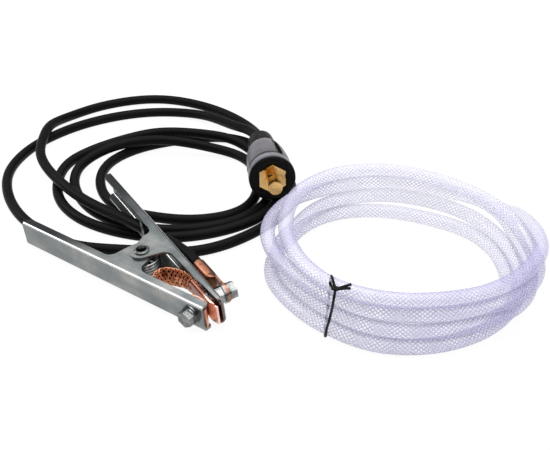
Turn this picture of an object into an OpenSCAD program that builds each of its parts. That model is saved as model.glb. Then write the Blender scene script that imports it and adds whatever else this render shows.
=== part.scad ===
// Earth lead and gas hose set for a cutting machine.
// A spring clamp on a welding cable with a bayonet plug, and a coil of braided hose.
// Millimetres, +Z up, the floor is Z = 0.

/* [Clamp arms] */
// Sheet thickness of both arms
arm_t = 2; // [1.6:0.1:2.2]
// Outer height of the channel section
arm_h = 24; // [23:0.5:30]
// Outer radius of the sheet's bends
bend_r = 3; // [2.6:0.1:4]
// Distance from the pivot to the outer face of each arm's web
pivot_off = 27; // [26:0.5:32]
// Near arm, pivot to jaw end
near_front = 92.5; // [90:0.5:108]
// Near arm, pivot to handle end
near_rear = 125.5; // [100:0.5:150]
// Far arm, pivot to jaw end
far_front = 96; // [94:0.5:112]
// Far arm, pivot to handle end
far_rear = 130.5; // [100:0.5:150]
// Angle between the arms with the jaws shut
shut_angle = 20.7; // [19:0.1:22]
// Depth of the flanges along the handles
handle_depth = 8.5; // [7:0.5:11]
// Depth of the near arm's flanges along the jaw
near_jaw_depth = 8.5; // [7:0.5:9.5]
// Depth of the far arm's flanges at the jaw end
far_tip_depth = 5; // [4:0.5:8]
// Radius of the near arm's ear round the pivot
near_ear_r = 13; // [11:0.5:14]
// Radius of the far arm's ear round the pivot
far_ear_r = 10.3; // [9:0.1:13]
// Running gap between the ears of the two arms
ear_gap = 0.3; // [0.2:0.1:0.5]
// Height of the far arm's opening for the cable
cable_slot_h = 12; // [11.5:0.5:13]

/* [Pivot] */
// Diameter of the hollow rivet's shank
rivet_d = 10; // [8:0.5:12]
// Diameter of the rivet's bore
rivet_bore_d = 7.8; // [5:0.1:8.5]
// Diameter of the rivet's rolled heads
rivet_head_d = 13; // [12:0.5:16]
// Height of the rivet's rolled heads
rivet_head_h = 1.6; // [1:0.1:2.5]
// Radial clearance of the far arm on the rivet
pivot_clear = 0.05; // [0.02:0.01:0.1]
// Wire diameter of the torsion spring
spring_wire = 2.2; // [1.8:0.1:2.4]
// Mean radius of the spring's coil
spring_r = 13.5; // [12:0.5:14]
// Turns in the spring's coil
spring_turns = 5.5; // [3.5:1:5.5]

/* [Jaws] */
// Thickness of the copper strip in the jaws
copper_t = 1.5; // [1:0.1:1.8]
// Length of the far arm's copper pad
far_pad_len = 40; // [36:1:46]
// How far the far pad stands off the web's outer face
far_pad_reach = 11; // [10.8:0.1:12]
// Outer radius of the near pad's bowed leaf
bow_r = 18; // [17:0.5:19]
// Gap between the pads with the jaws shut
jaw_gap = 0.3; // [0.3:0.1:1]
// Width of the copper braid
braid_w = 15; // [12:0.5:15]
// Thickness of the copper braid
braid_t = 2.4; // [1.6:0.1:3]

/* [Fasteners] */
// Shank diameter of both bolts
bolt_d = 8; // [6:1:8]
// Clearance round a bolt in its hole
bolt_clear = 0.25; // [0.1:0.05:0.5]
// Width across flats of heads and nuts
hex_af = 13; // [11:0.5:13]
// Height of the bolt heads
head_h = 5.5; // [4:0.1:6.5]
// Height of a full nut
nut_h = 6.5; // [5:0.1:7]
// Height of a thin nut
thin_nut_h = 3.6; // [3:0.1:3.8]
// Height of the nut under the near pad's bow
near_nut_h = 2.7; // [2.5:0.1:2.8]
// Outer diameter of the washers
washer_d = 17; // [15:0.5:18]
// Thickness of the flat washers
washer_t = 1.5; // [1:0.1:1.8]
// Thickness of the spring washers
spring_washer_t = 2; // [1.5:0.1:2.2]

/* [Lug and cable] */
// Outer diameter of the cable
cable_d = 10; // [9.5:0.1:10.1]
// Outer diameter of the lug's crimped barrel
lug_barrel_d = 11.6; // [11:0.1:13]
// Length of the lug's barrel
lug_barrel_len = 22; // [16:1:26]
// Thickness of the lug's palm
lug_palm_t = 2; // [1.5:0.1:2.5]
// Width of the lug's palm
lug_palm_w = 17; // [16:0.5:20]

/* [Plug] */
// Length of the plug's rubber and shell, cable end to front face
plug_len = 104; // [98:1:108]
// Diameter of the plug's front nose
nose_d = 44; // [40:0.5:46]
// Diameter of the plug's collar
collar_d = 43.6; // [42:0.2:45]
// Diameter of the plug's grip at its wide front end
grip_d = 42.4; // [40:0.2:43]
// Diameter of the cable boot
boot_d = 29.5; // [26:0.5:32]
// Diameter of the contact pin
pin_d = 13; // [9:0.5:13]
// How far the pin stands out of the hexagon's face
pin_out = 24; // [16:1:30]
// Width across flats of the contact's hexagon
contact_af = 24.5; // [20:0.5:25]

/* [Hose] */
// Outer diameter of the hose
hose_d = 13; // [12:0.5:14]
// Radius of the coil's turns at the hose's centre line
coil_r = 110.5; // [90:0.5:120]
// Turns in the coil
coil_turns = 4; // [2:1:5]
// Width of the wire tie's strip
tie_w = 2.4; // [2:0.1:4]

/* [Hidden] */
$fn = 48;

// Places of the clamp, plug and coil on the floor
clamp_pos = [15, -140, 0];
clamp_tilt = 9;
plug_front_pos = [-72.9, 46.8, 36.3];
plug_rise = 4.5;
plug_azimuth = -43;
coil_pos = [85.5, 32.5];

// Clamp frame: X along the near arm, its web's outer face on Y = 0, its lower side on Z = 0
pivot_x = -near_front;
rise = arm_t + ear_gap;
near_mid = arm_h / 2;
near_bolt_z = near_mid + 1;
far_mid = rise + arm_h / 2;
far_bolt_up = 1;
far_bolt_z = far_mid + far_bolt_up;
ear_top = arm_h + rise;

// Arm outline, seen along the pivot
rear_fillet = 8;
front_fillet = 9;
ear_back = 18.5;
ear_front = 12.5;
end_round = 6;
near_ear_shift = -2.5;

// Jaw and bolt stations along each arm from the pivot
near_bolt_x = 80.3;
far_bolt_x = 79.5;
bow_x = near_front - 15.1;
far_pad_end = far_front + 3;
pad_bend = [8.5, 2.8];
ferrule_t = 1.8;
ferrule_len = 24;
ferrule_h = arm_h - 2 * (arm_t + copper_t + 0.9);
seat_gap = 0.1;
thread_gap = 0.05;
nut_corner = hex_af / cos(30);

// Line of the far pad's face in the near arm's frame, and the bow that rests against it
function far_face_y(x) = (pivot_off - far_pad_reach - x * sin(shut_angle)) / cos(shut_angle);
bow_y = far_face_y(bow_x) - (bow_r + jaw_gap) / cos(shut_angle);

// Stack on the far bolt, as distances from the web's outer face
lug_off = nut_h + washer_t;
lug_axis_off = lug_off + lug_palm_t / 2 - 1;
lug_mouth_x = 34;
slot_from = -48;
slot_to = -2;

// Route of the cable's centre line, plug to lug
cable_route = [
    [-146, 115, 28.3], [-165, 130, 25.5], [-189, 145, 21], [-215, 151, 16], [-244, 161, 11],
    [-273, 167, 7.5], [-297, 162, 5.5], [-320, 148, 5], [-339, 127, 5], [-355, 95, 5], [-363, 62, 5],
    [-364, 30, 5], [-359, -4, 5], [-346, -36, 5], [-328, -63, 5], [-302, -86, 5], [-270, -105, 5],
    [-235, -118, 5], [-198, -123, 5], [-160, -120, 5], [-124, -109, 5], [-94, -92, 5], [-73, -66, 5],
    [-61, -34, 5], [-56, 0, 5], [-57, 34, 5], [-65, 64, 5], [-83, 89, 5], [-106, 110, 5],
    [-134, 128, 5], [-164, 141, 5], [-196, 147, 5], [-222, 139, 5], [-240, 120, 5], [-254, 99, 5],
    [-266, 74, 5], [-271, 46, 5], [-267, 17, 5], [-252, -8, 5], [-230, -28, 5], [-203, -42, 5],
    [-174, -45, 5], [-145, -36, 5], [-119, -22, 5], [-100, 0, 5], [-92, 25, 5], [-99, 51, 5],
    [-113, 72, 5], [-132, 92, 5], [-155, 110, 5], [-181, 116, 5.5], [-207, 105, 9], [-231, 88, 14.5],
    [-253, 72, 16], [-267, 52, 16.5], [-278, 29, 15], [-283, 11, 11], [-283, -5, 8], [-275, -21, 6],
    [-258, -38, 5], [-236, -52, 5], [-206, -64, 5], [-174, -67, 5], [-143, -60, 5], [-115, -44, 5],
    [-94, -20, 5.5], [-81, 8, 6], [-80, 34, 6.5], [-88, 60, 6], [-106, 80, 5], [-126, 102, 5],
    [-149, 122, 5], [-174, 130, 8], [-200, 130, 13], [-227, 115, 15.5], [-252, 101, 15.5],
    [-270, 84, 15.5], [-280, 61, 14.5], [-290, 40, 12], [-298, 20, 8.5], [-301, 0, 6], [-294, -20, 5],
    [-276, -43, 5], [-252, -64, 5], [-224, -78, 5], [-193, -84, 5], [-162, -81, 5], [-132, -71, 5],
    [-106, -54, 5], [-86, -28, 5], [-70, 2, 7.5], [-67, 34, 9], [-78, 66, 9], [-100, 90, 8.5],
    [-124, 112, 12.5], [-150, 130, 16.5], [-178, 149, 15.5], [-205, 169, 9], [-233, 183, 5.5],
    [-265, 190, 5], [-298, 190, 5], [-331, 183, 5], [-361, 169, 5], [-379, 141, 5], [-388, 110, 5],
    [-389, 77, 6], [-381, 48, 10.5], [-367, 22, 16], [-346, -3, 16], [-322, -27, 15.5],
    [-290, -45, 15.5], [-256, -57, 15.5], [-222, -66, 15.5], [-187, -70, 15.5], [-160, -74, 19],
    [-136, -79, 22.5], [-107, -82, 23.5], [-78, -83, 23], [-53, -88, 23.7], [-34, -95.1, 22.6]];
cable_sides = 8;

// Points along an arc, degrees from a0 to a1
function arc(c, r, a0, a1, n) = [for (i = [0:n]) let (a = a0 + (a1 - a0) * i / n) c + r * [cos(a), sin(a)]];

// A point on a smooth curve through four route points
function spline(p0, p1, p2, p3, t) =
    0.5 * (2 * p1 + (p2 - p0) * t + (2 * p0 - 5 * p1 + 4 * p2 - p3) * t * t
           + (3 * p1 - p0 - 3 * p2 + p3) * t * t * t);

function unit(v) = v / norm(v);

// Square frame across the path at point i
function path_dir(path, i) = unit(path[min(i + 1, len(path) - 1)] - path[max(i - 1, 0)]);
function side_dir(d) = abs(d[2]) > 0.95 ? [1, 0, 0] : unit(cross(d, [0, 0, 1]));
function ring_at(path, i, r, n) =
    let (d = path_dir(path, i), s = side_dir(d), u = cross(s, d))
    [for (k = [0:n - 1]) path[i] + r * (cos(360 * k / n) * s + sin(360 * k / n) * u)];

// Round tube swept along a path
module tube(path, d, n) {
    count = len(path);
    points = [for (i = [0:count - 1]) each ring_at(path, i, d / 2, n)];
    sides = [for (i = [0:count - 2]) for (k = [0:n - 1])
        [i * n + k, i * n + (k + 1) % n, (i + 1) * n + (k + 1) % n, (i + 1) * n + k]];
    first = [[for (k = [0:n - 1]) n - 1 - k]];
    last = [[for (k = [0:n - 1]) (count - 1) * n + k]];
    polyhedron(points = points, faces = concat(sides, first, last), convexity = 6);
}

module in_clamp() {
    translate(clamp_pos) rotate([clamp_tilt, 0, 0]) children();
}

// Frames with the pivot at the origin, the jaw towards +X and the web's outer face on Y = -pivot_off
module in_near_arm() {
    in_clamp() translate([pivot_x, pivot_off, 0]) children();
}

module in_far_arm() {
    in_near_arm() rotate([0, 0, -shut_angle]) mirror([0, 1, 0]) children();
}

// Frame of a bolt: Z along the bolt and inwards, from the web's outer face
module at_bolt(x, mid) {
    translate([x, -pivot_off, mid]) rotate([-90, 0, 0]) children();
}

module hex_prism(af, h) {
    rotate([0, 0, 30]) cylinder(d = af / cos(30), h = h, $fn = 6);
}

module ring(d, bore, h) {
    difference() {
        cylinder(d = d, h = h);
        translate([0, 0, -1]) cylinder(d = bore, h = h + 2);
    }
}

module nut(h) {
    difference() {
        hex_prism(hex_af, h);
        translate([0, 0, -1]) cylinder(d = bolt_d + 2 * thread_gap, h = h + 2);
    }
}

// Plan of an arm: web strip, handle flange, ear round the pivot and jaw flange
module arm_plan(front, rear, ear_r, ear_x, jaw_depth, tip_depth) {
    web = -pivot_off;
    handle = web + handle_depth;
    jaw = web + jaw_depth;
    polygon(concat(
        [[front, web], [-rear, web]],
        arc([end_round - rear, handle - end_round], end_round, 180, 90, 6),
        arc([-ear_back - rear_fillet, handle + rear_fillet], rear_fillet, 270, 360, 8),
        arc([ear_x, 0], ear_r, 170, 10, 16),
        arc([ear_front + front_fillet, jaw + front_fillet], front_fillet, 180, 270, 8),
        arc([front - 2, web + tip_depth - 2], 2, 90, 0, 4)));
}

// Section of the folded sheet, web to the left
module channel_section(depth) {
    inner_r = bend_r - arm_t;
    difference() {
        union() {
            for (z = [bend_r, arm_h - bend_r]) translate([bend_r, z]) circle(r = bend_r);
            translate([0, bend_r]) square([bend_r, arm_h - 2 * bend_r]);
            translate([bend_r, 0]) square([depth - bend_r, arm_h]);
        }
        for (z = [arm_t + inner_r, arm_h - arm_t - inner_r]) translate([bend_r, z]) circle(r = inner_r);
        translate([arm_t, arm_t + inner_r]) square([inner_r, arm_h - 2 * (arm_t + inner_r)]);
        translate([bend_r, arm_t]) square([depth, arm_h - 2 * arm_t]);
    }
}

module arm_blank(front, rear, ear_r, ear_x, jaw_depth, tip_depth) {
    intersection() {
        translate([-rear - 1, -pivot_off, 0]) rotate([90, 0, 90])
            linear_extrude(front + rear + 2) channel_section(pivot_off + ear_r + 2);
        translate([0, 0, -1]) linear_extrude(arm_h + 2)
            arm_plan(front, rear, ear_r, ear_x, jaw_depth, tip_depth);
    }
}

// Round-ended opening through the web, X from x0 to x1
module web_slot(x0, x1, z, h) {
    translate([0, -pivot_off - 1, z]) rotate([-90, 0, 0]) {
        for (x = [x0 + h / 2, x1 - h / 2]) translate([x, 0, 0]) cylinder(d = h, h = arm_t + 2);
        translate([x0 + h / 2, -h / 2, 0]) cube([x1 - x0 - h, h, arm_t + 2]);
    }
}

module far_arm() {
    color("lightslategray") in_far_arm() translate([0, 0, rise]) difference() {
        arm_blank(far_front, far_rear, far_ear_r, 0, handle_depth, far_tip_depth);
        translate([0, 0, -1]) cylinder(d = rivet_d + 2 * pivot_clear, h = arm_h + 2);
        web_slot(slot_from, slot_to, arm_h / 2, cable_slot_h);
        web_slot(-80, -66, arm_h - 6, 3);
        at_bolt(far_bolt_x, arm_h / 2 + far_bolt_up) translate([0, 0, -1])
            cylinder(d = bolt_d + 2 * bolt_clear, h = arm_t + 2);
    }
}

module near_arm() {
    color("slategray") in_near_arm() difference() {
        arm_blank(near_front, near_rear, near_ear_r, near_ear_shift, near_jaw_depth, near_jaw_depth);
        translate([0, 0, -1]) cylinder(d = rivet_d, h = arm_h + 2);
        at_bolt(near_bolt_x, near_bolt_z) translate([0, 0, -1])
            cylinder(d = bolt_d + 2 * bolt_clear, h = arm_t + 2);
    }
}

// Hollow rivet with both ends rolled over the ears
module pivot_rivet() {
    shank = rivet_d / 2;
    bore = rivet_bore_d / 2;
    lip = rivet_head_d / 2;
    h = rivet_head_h;
    color("gainsboro") in_near_arm() rotate_extrude() polygon([
        [bore, 0.6], [bore + 0.8, -h], [lip - 1, -h], [lip, -h / 2], [lip, -seat_gap], [shank, -seat_gap],
        [shank, ear_top + ear_gap], [lip, ear_top + ear_gap], [lip, ear_top + ear_gap + h / 2],
        [lip - 1, ear_top + ear_gap + h], [bore + 0.8, ear_top + ear_gap + h], [bore, ear_top - 0.6]]);
}

// Coil round the rivet, with a leg to each web
spring_low = rise + arm_t + spring_wire / 2 + 0.2;
spring_high = arm_h - arm_t - spring_wire / 2 - 0.2;
spring_lead = (spring_high - spring_low) / spring_turns;
leg_reach = 62;
near_leg_end = [-leg_reach, -pivot_off + arm_t + spring_wire / 2 + 0.2];
far_leg_end = [-leg_reach * cos(shut_angle) + near_leg_end[1] * -sin(shut_angle),
               leg_reach * sin(shut_angle) - near_leg_end[1] * cos(shut_angle)];
coil_steps = 14;

module torsion_spring() {
    coil = [for (i = [0:spring_turns * coil_steps]) let (a = 270 - 360 * i / coil_steps)
        [spring_r * cos(a), spring_r * sin(a), spring_low + spring_lead * i / coil_steps]];
    color("silver") in_near_arm() tube(concat(
        [[near_leg_end[0], near_leg_end[1], spring_low], [-14, -spring_r - 3, spring_low]],
        coil,
        [[-14, spring_r + 3, spring_high], [far_leg_end[0], far_leg_end[1], spring_high]]),
        spring_wire, 8);
}

// Folded trough of copper strip inside the far arm's jaw
module far_jaw_pad() {
    depth = far_pad_reach - arm_t - seat_gap;
    height = arm_h - 2 * arm_t - 2 * seat_gap;
    r = 2.5;
    color("peru") in_far_arm()
        translate([far_pad_end - far_pad_len, -pivot_off + arm_t + seat_gap, far_mid]) difference() {
            pad_shell(depth, height, r);
            translate([-1, copper_t, 0]) pad_shell(depth - 2 * copper_t, height - 2 * copper_t, r - copper_t, 2);
            translate([-1, r, height / 2 - copper_t - 1]) cube([far_pad_len + 2, depth - 2 * r, copper_t + 2]);
            translate([far_bolt_x - far_pad_end + far_pad_len, -1, far_bolt_up]) rotate([-90, 0, 0])
                cylinder(d = bolt_d + 2 * bolt_clear, h = copper_t + 1.5);
        }
}

// Channel whose contact side bends back towards the web at the jaw's tip
module pad_shell(depth, height, r, more = 0) {
    intersection() {
        rotate([90, 0, 90]) linear_extrude(far_pad_len + more) pad_section(depth, height, r);
        translate([0, 0, -height]) linear_extrude(2 * height) polygon([
            [-1, -1], [far_pad_len + more + 1, -1],
            [far_pad_len + more + 1, depth - pad_bend[1] - (more + 1) * pad_bend[1] / pad_bend[0]],
            [far_pad_len - pad_bend[0] + more / 2, depth], [far_pad_len - pad_bend[0] + more / 2, depth + 1],
            [-1, depth + 1]]);
    }
}

module pad_section(depth, height, r) {
    for (x = [r, depth - r], z = [r - height / 2, height / 2 - r]) translate([x, z]) circle(r = r);
    translate([0, r - height / 2]) square([depth, height - 2 * r]);
    translate([r, -height / 2]) square([depth - 2 * r, height]);
}

// Copper strip bolted to the near web and folded back over itself in a bow
module near_jaw_pad() {
    foot = -pivot_off + arm_t + seat_gap;
    foot_top = foot + copper_t;
    width = arm_h - 2 * arm_t - 3;
    front = bow_x + sqrt(bow_r * bow_r - pow(foot - bow_y, 2));
    color("darkorange") in_near_arm() difference() {
        translate([0, 0, near_mid - width / 2]) linear_extrude(width) {
            translate([near_bolt_x - 30, foot]) square([front - near_bolt_x + 29.4, copper_t]);
            intersection() {
                translate([bow_x, bow_y]) difference() {
                    circle(r = bow_r, $fn = 96);
                    circle(r = bow_r - copper_t, $fn = 96);
                }
                translate([bow_x - 11.5, foot]) square([11.5 + bow_r, bow_r]);
            }
        }
        at_bolt(near_bolt_x, near_bolt_z) translate([0, 0, arm_t - 1])
            cylinder(d = bolt_d + 2 * bolt_clear, h = foot_top - foot + 3);
    }
}

// Flattened copper sleeve on the braid's end
module braid_ferrule(x, mid, off, hole_up = 0) {
    translate([x - ferrule_len / 2 - 3, -pivot_off + off, mid - ferrule_h / 2]) difference() {
        cube([ferrule_len, ferrule_t, ferrule_h]);
        translate([ferrule_len / 2 + 3, -1, ferrule_h / 2 + hole_up]) rotate([-90, 0, 0])
            cylinder(d = bolt_d + 2 * bolt_clear, h = ferrule_t + 2);
    }
}

near_ferrule_off = arm_t + copper_t + 2 * seat_gap;
far_ferrule_off = arm_t + copper_t + 2 * seat_gap;

module far_braid_ferrule() {
    color("sienna") in_far_arm() braid_ferrule(far_bolt_x, far_mid, far_ferrule_off, far_bolt_up);
}

module near_braid_ferrule() {
    color("sienna") in_near_arm() braid_ferrule(near_bolt_x, near_bolt_z, near_ferrule_off);
}

// Loop of flat braid between the two ferrules, as a closed strip of even thickness
braid_gap = 0.35;
near_braid_x = near_bolt_x - ferrule_len / 2 - 3 - braid_gap;
near_braid_y = -pivot_off + near_ferrule_off + ferrule_t / 2 + 0.5;
far_braid_u = far_bolt_x - ferrule_len / 2 - 3 - braid_gap;
far_braid_v = -pivot_off + far_ferrule_off + ferrule_t / 2 + 0.5;
far_braid_end = [far_braid_u * cos(shut_angle) - far_braid_v * sin(shut_angle),
                 -far_braid_u * sin(shut_angle) - far_braid_v * cos(shut_angle)];
braid_loop = [[near_braid_x, near_braid_y], [near_braid_x - 12, near_braid_y + 0.5], [36, -19], [27, -14],
              [23.5, -6], [26, 0.5], [34, 4.5], [44, 5.6],
              far_braid_end + [-9, 3.4], far_braid_end];

function fine_path(p, n) = concat(
    [for (i = [0:len(p) - 2], k = [0:n - 1])
        spline(p[max(i - 1, 0)], p[i], p[i + 1], p[min(i + 2, len(p) - 1)], k / n)],
    [p[len(p) - 1]]);
function path_normal(p, i) =
    let (d = unit(p[min(i + 1, len(p) - 1)] - p[max(i - 1, 0)])) [-d[1], d[0]];

module braid_strap() {
    line = fine_path(braid_loop, 4);
    left = [for (i = [0:len(line) - 1]) line[i] + path_normal(line, i) * braid_t / 2];
    right = [for (i = [len(line) - 1:-1:0]) line[i] - path_normal(line, i) * braid_t / 2];
    color("chocolate") in_near_arm() translate([0, 0, far_mid - 0.6 - braid_w / 2])
        linear_extrude(braid_w) polygon(concat(left, right));
}

// Bolts point inwards from outside each web
module near_bolt() {
    stack = washer_t + spring_washer_t;
    inside = near_ferrule_off + ferrule_t + seat_gap + near_nut_h;
    color("lightgray") in_near_arm() at_bolt(near_bolt_x, near_bolt_z) {
        translate([0, 0, -stack - head_h]) hex_prism(hex_af, head_h);
        translate([0, 0, -stack]) cylinder(d = bolt_d, h = stack + inside);
    }
}

module near_washers() {
    color("whitesmoke") in_near_arm() at_bolt(near_bolt_x, near_bolt_z) {
        translate([0, 0, -washer_t]) ring(washer_d, bolt_d + 2 * bolt_clear, washer_t);
        translate([0, 0, -washer_t - spring_washer_t])
            ring(washer_d - 2, bolt_d + 2 * bolt_clear, spring_washer_t);
    }
}

module near_nut() {
    color("lightgray") in_near_arm() at_bolt(near_bolt_x, near_bolt_z)
        translate([0, 0, near_ferrule_off + ferrule_t + seat_gap]) rotate([0, 0, 30]) nut(near_nut_h);
}

far_stack = lug_off + lug_palm_t + spring_washer_t;

module far_bolt() {
    inside = far_ferrule_off + ferrule_t + seat_gap + thin_nut_h;
    color("gainsboro") in_far_arm() at_bolt(far_bolt_x, far_bolt_z) {
        translate([0, 0, -far_stack - head_h]) hex_prism(hex_af, head_h);
        translate([0, 0, -far_stack]) cylinder(d = bolt_d, h = far_stack + inside);
    }
}

module far_washers() {
    color("whitesmoke") in_far_arm() at_bolt(far_bolt_x, far_bolt_z) {
        translate([0, 0, -lug_off]) ring(washer_d, bolt_d + 2 * bolt_clear, washer_t);
        translate([0, 0, -far_stack]) ring(washer_d - 2, bolt_d + 2 * bolt_clear, spring_washer_t);
    }
}

module far_nuts() {
    color("darkgray") in_far_arm() at_bolt(far_bolt_x, far_bolt_z) {
        translate([0, 0, -nut_h]) nut(nut_h);
        translate([0, 0, far_ferrule_off + ferrule_t + seat_gap]) nut(thin_nut_h);
    }
}

// Crimp lug: round barrel, flattened neck and round-ended palm
module cable_lug() {
    palm_r = lug_palm_w / 2;
    neck_x = lug_mouth_x + lug_barrel_len;
    palm_x = neck_x + 8;
    color("peru") in_far_arm() translate([0, -pivot_off, far_bolt_z]) {
        translate([lug_mouth_x, -lug_axis_off, 0]) rotate([0, 90, 0])
            cylinder(d = lug_barrel_d, h = lug_barrel_len);
        hull() {
            translate([neck_x - 0.5, -lug_axis_off, 0]) rotate([0, 90, 0])
                cylinder(d = lug_barrel_d, h = 0.5, $fn = 32);
            translate([palm_x, -lug_off - lug_palm_t, -palm_r + 1]) cube([1, lug_palm_t, lug_palm_w - 2]);
        }
        translate([0, -lug_off - lug_palm_t, 0]) difference() {
            union() {
                translate([palm_x, 0, -palm_r]) cube([far_bolt_x - palm_x, lug_palm_t, lug_palm_w]);
                translate([far_bolt_x, 0, 0]) rotate([-90, 0, 0]) cylinder(d = lug_palm_w, h = lug_palm_t);
            }
            translate([far_bolt_x, -1, 0]) rotate([-90, 0, 0])
                cylinder(d = bolt_d + 2 * bolt_clear, h = lug_palm_t + 2);
        }
    }
}

module ground_cable() {
    color([0.1, 0.1, 0.1]) tube(cable_route, cable_d, cable_sides);
}

// Plug frame: Z along the plug from the cable entry to the front face
module in_plug() {
    translate(plug_front_pos) rotate([0, 90 - plug_rise, plug_azimuth])
        translate([0, 0, -plug_len]) children();
}

// Stations along the plug
boot_end = 34;
grip_end = 91;
collar_end = 97;
plug_bore_d = 15;
boot_ribs = 8;

module plug_boot() {
    r = boot_d / 2;
    rib = (boot_end - 3) / boot_ribs;
    color([0.14, 0.14, 0.14]) in_plug() rotate_extrude() polygon(concat(
        [[0, 0], [r - 3.6, 0], [r - 2.6, 1]],
        [for (i = [0:boot_ribs - 1]) let (w = r - 2 * (1 - i / boot_ribs), z = 1.6 + i * rib)
            each [[w - 0.7, z], [w, z + 0.5], [w, z + rib - 1.1], [w - 0.7, z + rib - 0.6]]],
        [[r - 1, boot_end - seat_gap], [0, boot_end - seat_gap]]));
}

module plug_grip() {
    r = grip_d / 2;
    color([0.3, 0.3, 0.32]) in_plug() difference() {
        rotate_extrude() polygon([
            [plug_bore_d / 2, boot_end], [r - 5.7, boot_end], [r - 4.4, boot_end + 2], [r - 3.2, boot_end + 8],
            [r - 1.6, boot_end + 20], [r - 0.5, boot_end + 34], [r, grip_end - 2],
            [r - 0.6, grip_end - seat_gap], [plug_bore_d / 2, grip_end - seat_gap]]);
        for (a = [32:120:272]) rotate([0, 0, a]) translate([r - 6, 0, boot_end + 8]) rotate([0, 5, 0]) {
            translate([0, -2.5, 0]) cube([9, 5, 44]);
            for (z = [0, 44]) translate([0, 0, z]) rotate([0, 90, 0]) cylinder(d = 5, h = 9);
        }
    }
}

module plug_collar() {
    r = collar_d / 2;
    color([0.2, 0.2, 0.22]) in_plug() rotate_extrude() polygon([
        [plug_bore_d / 2, grip_end], [r - 1, grip_end], [r, grip_end + 1.5],
        [r, collar_end - 1.5], [r - 1, collar_end - seat_gap], [cup_r + 2.1, collar_end - seat_gap],
        [cup_r + 2.1, collar_end - 4.2], [plug_bore_d / 2, collar_end - 4.2]]);
}

contact_depth = 9;
cup_depth = 1.2;
pin_land = 9.4;
cup_r = contact_af / sqrt(3) + 0.6;

module plug_nose() {
    r = nose_d / 2;
    color([0.08, 0.08, 0.08]) in_plug() difference() {
        rotate_extrude() polygon(concat(
            [[plug_bore_d / 2, collar_end - seat_gap - 4], [cup_r + 2, collar_end - seat_gap - 4],
             [cup_r + 2, collar_end], [r, collar_end]],
            arc([r - 2, plug_len - 2.5], 2, 0, 90, 6),
            [[cup_r + 2, plug_len - 0.5], [cup_r + 0.5, plug_len - cup_depth], [plug_bore_d / 2, plug_len - cup_depth]]));
        translate([0, 0, plug_len - contact_depth]) rotate([0, 0, 30]) hex_prism(contact_af + 0.4, 40);
    }
}

// Brass contact: socket for the core, hexagon and bayonet pin
module plug_contact() {
    stem_d = plug_bore_d - 0.4;
    core_d = 9.4;
    hex_base = plug_len - contact_depth + 0.2;
    color("goldenrod") in_plug() difference() {
        union() {
            translate([0, 0, boot_end + 5]) cylinder(d = stem_d, h = hex_base - boot_end - 4.8);
            translate([0, 0, hex_base]) rotate([0, 0, 30]) hex_prism(contact_af, contact_depth - 0.2);
            translate([0, 0, plug_len - 0.1]) cylinder(d = pin_d - 1, h = pin_out + 0.1);
            translate([0, 0, plug_len + 2]) cylinder(d = pin_d - 0.3, h = pin_out - 12);
            translate([0, 0, plug_len + pin_out - 1 - pin_land]) cylinder(d = pin_d, h = pin_land);
            rotate([0, 0, 205]) translate([0, -2.2, plug_len + 6]) cube([pin_d / 2 + 2, 4.4, 7]);
        }
        for (a = [100, 215]) rotate([0, 0, a]) translate([contact_af / 2 - 0.8, -1.6, plug_len - 5])
            cube([4, 3.2, 6]);
        translate([0, 0, boot_end]) cylinder(d = core_d + 0.4, h = 30);
        for (z = [boot_end + 13, boot_end + 23]) translate([0, 0, z]) rotate([0, 90, 0])
            cylinder(d = 5 + 2 * thread_gap, h = stem_d);
    }
}

module plug_ferrule() {
    color("peru") in_plug() translate([0, 0, boot_end + 6]) ring(9.4, 7.6, 22);
}

module plug_set_screws() {
    color("silver") in_plug() for (z = [boot_end + 13, boot_end + 23]) translate([4.8, 0, z])
        rotate([0, 90, 0]) difference() {
            cylinder(d = 5, h = 2.1);
            translate([0, 0, 1]) cylinder(d = 2.9, h = 3, $fn = 6);
        }
}

// Outer shape of the hose coil: stacked turns, the lowest a little tighter
turn_pitch = hose_d - 0.3;

module hose_coil() {
    color([0.85, 0.83, 0.95, 0.7]) translate([coil_pos[0], coil_pos[1], 0]) rotate_extrude($fn = 96) {
        for (i = [0:coil_turns - 1]) translate([i == 0 ? coil_r - 4 : coil_r, hose_d / 2 + i * turn_pitch])
            circle(d = hose_d, $fn = 32);
        translate([coil_r - 5, hose_d / 2]) square([6, (coil_turns - 1) * turn_pitch]);
    }
}

// Wire tie round the coil's turns, twisted at the top
tie_angle = -80.6;
tie_gap = 0.3;

module twist_tie() {
    in_r = coil_r - 4 - hose_d / 2 - tie_gap;
    out_r = coil_r + hose_d / 2 + tie_gap;
    top = hose_d + (coil_turns - 1) * turn_pitch + tie_gap;
    t = 1.2;
    color([0.07, 0.07, 0.07]) translate([coil_pos[0], coil_pos[1], 0]) rotate([0, 0, tie_angle]) {
        translate([0, tie_w / 2, 0]) rotate([90, 0, 0]) linear_extrude(tie_w) difference() {
            translate([in_r - t, 0.1]) square([out_r - in_r + 2 * t, top + t - 0.1]);
            translate([in_r, -1]) square([out_r - in_r, top + 1]);
        }
        translate([out_r - 4, 0, top + t + 1.4]) sphere(d = 5, $fn = 16);
    }
}

far_arm();
near_arm();
pivot_rivet();
torsion_spring();
far_jaw_pad();
near_jaw_pad();
far_braid_ferrule();
near_braid_ferrule();
braid_strap();
near_bolt();
near_washers();
near_nut();
far_bolt();
far_washers();
far_nuts();
cable_lug();
ground_cable();
plug_boot();
plug_grip();
plug_collar();
plug_nose();
plug_contact();
plug_ferrule();
plug_set_screws();
hose_coil();
twist_tie();
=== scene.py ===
import math
import bmesh
import bpy
from mathutils import Matrix, Vector, noise


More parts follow.
